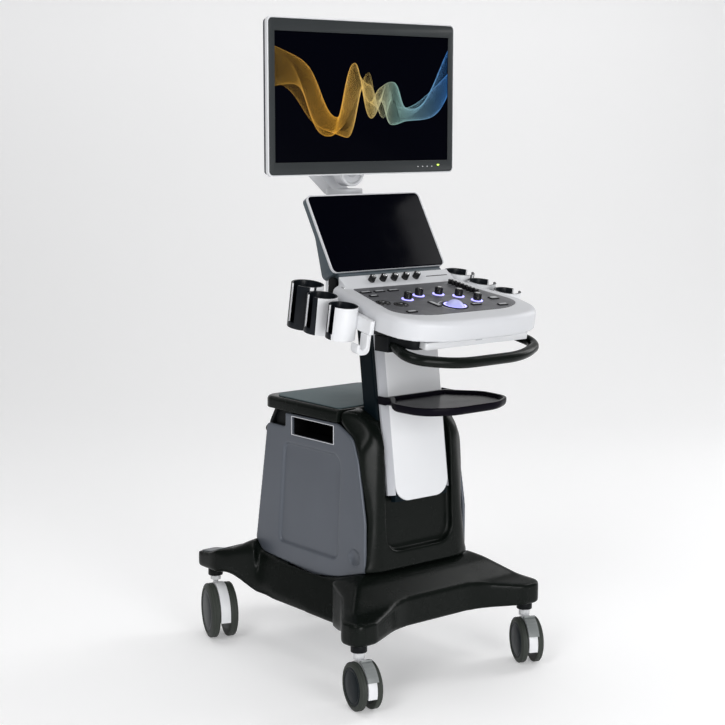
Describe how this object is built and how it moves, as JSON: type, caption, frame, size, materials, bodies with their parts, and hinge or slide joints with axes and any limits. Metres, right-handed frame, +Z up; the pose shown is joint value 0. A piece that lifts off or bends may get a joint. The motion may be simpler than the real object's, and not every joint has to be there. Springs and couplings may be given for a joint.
{
  "type": "ultrasound machine",
  "caption": "Cart-based ultrasound scanner: wheeled body, lifting column, sloped control console with probe cups, touch screen and an arm-mounted monitor.",
  "frame": {"origin": "on the floor at the middle of the machine's footprint", "axes": "+Z up, -Y towards the operator, +X to the operator's right"},
  "size_m": [0.5414, 0.7798, 1.3862],
  "materials": {
    "gloss_black": "glossy moulded shell",
    "satin_black": "satin moulded plastic",
    "panel_grey": "satin grey-blue paint",
    "white_abs": "fine-textured white ABS",
    "light_grey": "fine-textured light grey ABS",
    "deck_grey": "satin grey deck foil",
    "blue_grey": "satin blue-grey plastic",
    "mat_rubber": "plain rubber mat",
    "wheel_tyre": "soft caster tread",
    "knob_black": "moulded knobs",
    "lit_lens": "lit translucent lens",
    "screen_glass": "dark display glass",
    "steel": "plain steel",
    "inner_metal": "folded sheet",
    "pedal_grey": "moulded pedal"
  },
  "bodies": {
    "base": {"base_cover": "gloss_black", "ballast_plate": "steel", "caster_sockets": "satin_black", "front_cover": "gloss_black", "side_panel_left": "panel_grey", "side_panel_right": "panel_grey", "rear_cover": "satin_black", "top_lid": "gloss_black", "top_mat": "mat_rubber", "power_supply": "inner_metal", "card_cage": "inner_metal", "bay_trays": "satin_black", "gas_spring_cylinder": "satin_black"},
    "column": {"column_shell": "blue_grey", "column_side_trims": "blue_grey", "column_cover": "white_abs", "utility_shelf": "gloss_black", "gas_spring_rod": "steel"},
    "console": {"console_base": "satin_black", "console_shell": "light_grey", "control_plate": "deck_grey", "push_handle": "gloss_black", "probe_holder_left": "white_abs", "probe_holder_right": "white_abs", "cable_hooks": "white_abs", "light_rings": "lit_lens", "arm_post": "light_grey"},
    "keyboard": {"keyboard_drawer": "white_abs"},
    "touch_screen": {"touch_housing": "blue_grey", "touch_glass": "screen_glass"},
    "lower_arm": {"arm_lower_link": "light_grey"},
    "upper_arm": {"arm_upper_link": "light_grey"},
    "head": {"tilt_head": "light_grey"},
    "monitor": {"monitor_housing": "satin_black", "monitor_rim": "white_abs", "monitor_bezel": "satin_black", "monitor_screen": "screen_glass"},
    "ball": {"trackball": "lit_lens"},
    "sliders": {"tgc_sliders": "knob_black"},
    "keys": {"key_buttons": "knob_black"},
    "caster_fl": {"caster_fl_housing": "white_abs"},
    "wheels_fl": {"caster_fl_wheels": "wheel_tyre"},
    "pedal_fl": {"caster_fl_pedal": "pedal_grey"},
    "caster_fr": {"caster_fr_housing": "white_abs"},
    "wheels_fr": {"caster_fr_wheels": "wheel_tyre"},
    "pedal_fr": {"caster_fr_pedal": "pedal_grey"},
    "caster_rl": {"caster_rl_housing": "white_abs"},
    "wheels_rl": {"caster_rl_wheels": "wheel_tyre"},
    "caster_rr": {"caster_rr_housing": "white_abs"},
    "wheels_rr": {"caster_rr_wheels": "wheel_tyre"},
    "knob_1": {"knob_1": "knob_black"},
    "knob_2": {"knob_2": "knob_black"},
    "knob_3": {"knob_3": "knob_black"},
    "knob_4": {"knob_4": "knob_black"},
    "knob_5": {"knob_5": "knob_black"},
    "encoder_1": {"encoder_1": "knob_black"},
    "encoder_2": {"encoder_2": "knob_black"},
    "encoder_3": {"encoder_3": "knob_black"},
    "encoder_4": {"encoder_4": "knob_black"},
    "encoder_5": {"encoder_5": "knob_black"}
  },
  "joints": [
    {"name": "caster_fl_swivel", "type": "hinge", "parent": "base", "child": "caster_fl", "pos_m": [-0.234, -0.247, 0.12], "axis": [0, 0, 1], "continuous": true},
    {"name": "caster_fl_roll", "type": "hinge", "parent": "caster_fl", "child": "wheels_fl", "pos_m": [-0.23839, -0.26446, 0.05], "axis": [0.9699, -0.2436, 0], "continuous": true},
    {"name": "pedal_fl_press", "type": "hinge", "parent": "caster_fl", "child": "pedal_fl", "pos_m": [-0.24137, -0.27635, 0.1031], "axis": [-0.9699, 0.2436, 0], "range_deg": [0, 8]},
    {"name": "caster_fr_swivel", "type": "hinge", "parent": "base", "child": "caster_fr", "pos_m": [0.234, -0.247, 0.12], "axis": [0, 0, 1], "continuous": true},
    {"name": "caster_fr_roll", "type": "hinge", "parent": "caster_fr", "child": "wheels_fr", "pos_m": [0.22605, -0.26315, 0.05], "axis": [0.8973, -0.4415, 0], "continuous": true},
    {"name": "pedal_fr_press", "type": "hinge", "parent": "caster_fr", "child": "pedal_fr", "pos_m": [0.22064, -0.27415, 0.1031], "axis": [-0.8973, 0.4415, 0], "range_deg": [0, 8]},
    {"name": "caster_rl_swivel", "type": "hinge", "parent": "base", "child": "caster_rl", "pos_m": [-0.184, 0.343, 0.12], "axis": [0, 0, 1], "continuous": true},
    {"name": "caster_rl_roll", "type": "hinge", "parent": "caster_rl", "child": "wheels_rl", "pos_m": [-0.19614, 0.31017, 0.0625], "axis": [0.9379, -0.3469, 0], "continuous": true},
    {"name": "caster_rr_swivel", "type": "hinge", "parent": "base", "child": "caster_rr", "pos_m": [0.184, 0.343, 0.12], "axis": [0, 0, 1], "continuous": true},
    {"name": "caster_rr_roll", "type": "hinge", "parent": "caster_rr", "child": "wheels_rr", "pos_m": [0.17186, 0.31017, 0.0625], "axis": [0.9379, -0.3469, 0], "continuous": true},
    {"name": "column_lift", "type": "slide", "parent": "base", "child": "column", "axis": [0, 0.1288, 0.9917], "range_m": [-0.04, 0.12]},
    {"name": "console_swivel", "type": "hinge", "parent": "column", "child": "console", "pos_m": [0, -0.092, 0.745], "axis": [0, 0, 1], "range_deg": [-30, 30]},
    {"name": "keyboard_slide", "type": "slide", "parent": "console", "child": "keyboard", "axis": [0, -0.9839, -0.1788], "range_m": [0, 0.14]},
    {"name": "touch_tilt", "type": "hinge", "parent": "console", "child": "touch_screen", "pos_m": [0, -0.05421, 0.84145], "axis": [1, 0, 0], "range_deg": [-3, 20]},
    {"name": "arm_swivel", "type": "hinge", "parent": "console", "child": "lower_arm", "pos_m": [0, 0.093, 1.0165], "axis": [0, 0, 1], "range_deg": [-45, 45]},
    {"name": "arm_elbow", "type": "hinge", "parent": "lower_arm", "child": "upper_arm", "pos_m": [0, 0.225, 1.1], "axis": [0, 0, 1], "range_deg": [-40, 40]},
    {"name": "head_swivel", "type": "hinge", "parent": "upper_arm", "child": "head", "pos_m": [0, 0.15, 1.1], "axis": [0, 0, 1], "range_deg": [-35, 35]},
    {"name": "monitor_tilt", "type": "hinge", "parent": "head", "child": "monitor", "pos_m": [0, 0.08, 1.106], "axis": [1, 0, 0], "range_deg": [-20, 10]},
    {"name": "trackball_roll", "type": "hinge", "parent": "console", "child": "ball", "pos_m": [0, -0.2681, 0.79382], "axis": [1, 0, 0], "continuous": true},
    {"name": "knob_1_turn", "type": "hinge", "parent": "console", "child": "knob_1", "pos_m": [-0.072, -0.20585, 0.82038], "axis": [0, -0.1788, 0.9839], "continuous": true},
    {"name": "knob_2_turn", "type": "hinge", "parent": "console", "child": "knob_2", "pos_m": [-0.027, -0.18814, 0.8236], "axis": [0, -0.1788, 0.9839], "continuous": true},
    {"name": "knob_3_turn", "type": "hinge", "parent": "console", "child": "knob_3", "pos_m": [0.025, -0.19109, 0.82307], "axis": [0, -0.1788, 0.9839], "continuous": true},
    {"name": "knob_4_turn", "type": "hinge", "parent": "console", "child": "knob_4", "pos_m": [0.06, -0.2147, 0.81877], "axis": [0, -0.1788, 0.9839], "continuous": true},
    {"name": "knob_5_turn", "type": "hinge", "parent": "console", "child": "knob_5", "pos_m": [0.078, -0.25209, 0.81198], "axis": [0, -0.1788, 0.9839], "continuous": true},
    {"name": "encoder_1_turn", "type": "hinge", "parent": "console", "child": "encoder_1", "pos_m": [-0.075, -0.09145, 0.84524], "axis": [0, -0.5999, 0.8001], "continuous": true},
    {"name": "encoder_2_turn", "type": "hinge", "parent": "console", "child": "encoder_2", "pos_m": [-0.0445, -0.09145, 0.84524], "axis": [0, -0.5999, 0.8001], "continuous": true},
    {"name": "encoder_3_turn", "type": "hinge", "parent": "console", "child": "encoder_3", "pos_m": [-0.014, -0.09145, 0.84524], "axis": [0, -0.5999, 0.8001], "continuous": true},
    {"name": "encoder_4_turn", "type": "hinge", "parent": "console", "child": "encoder_4", "pos_m": [0.0165, -0.09145, 0.84524], "axis": [0, -0.5999, 0.8001], "continuous": true},
    {"name": "encoder_5_turn", "type": "hinge", "parent": "console", "child": "encoder_5", "pos_m": [0.047, -0.09145, 0.84524], "axis": [0, -0.5999, 0.8001], "continuous": true},
    {"name": "tgc_slide", "type": "slide", "parent": "console", "child": "sliders", "axis": [1, 0, 0], "range_m": [-0.0075, 0.0075]},
    {"name": "key_press", "type": "slide", "parent": "console", "child": "keys", "axis": [0, 0.1788, -0.9839], "range_m": [0, 0.0015], "stiffness_N_per_m": 400, "springref_m": -0.001}
  ]
}
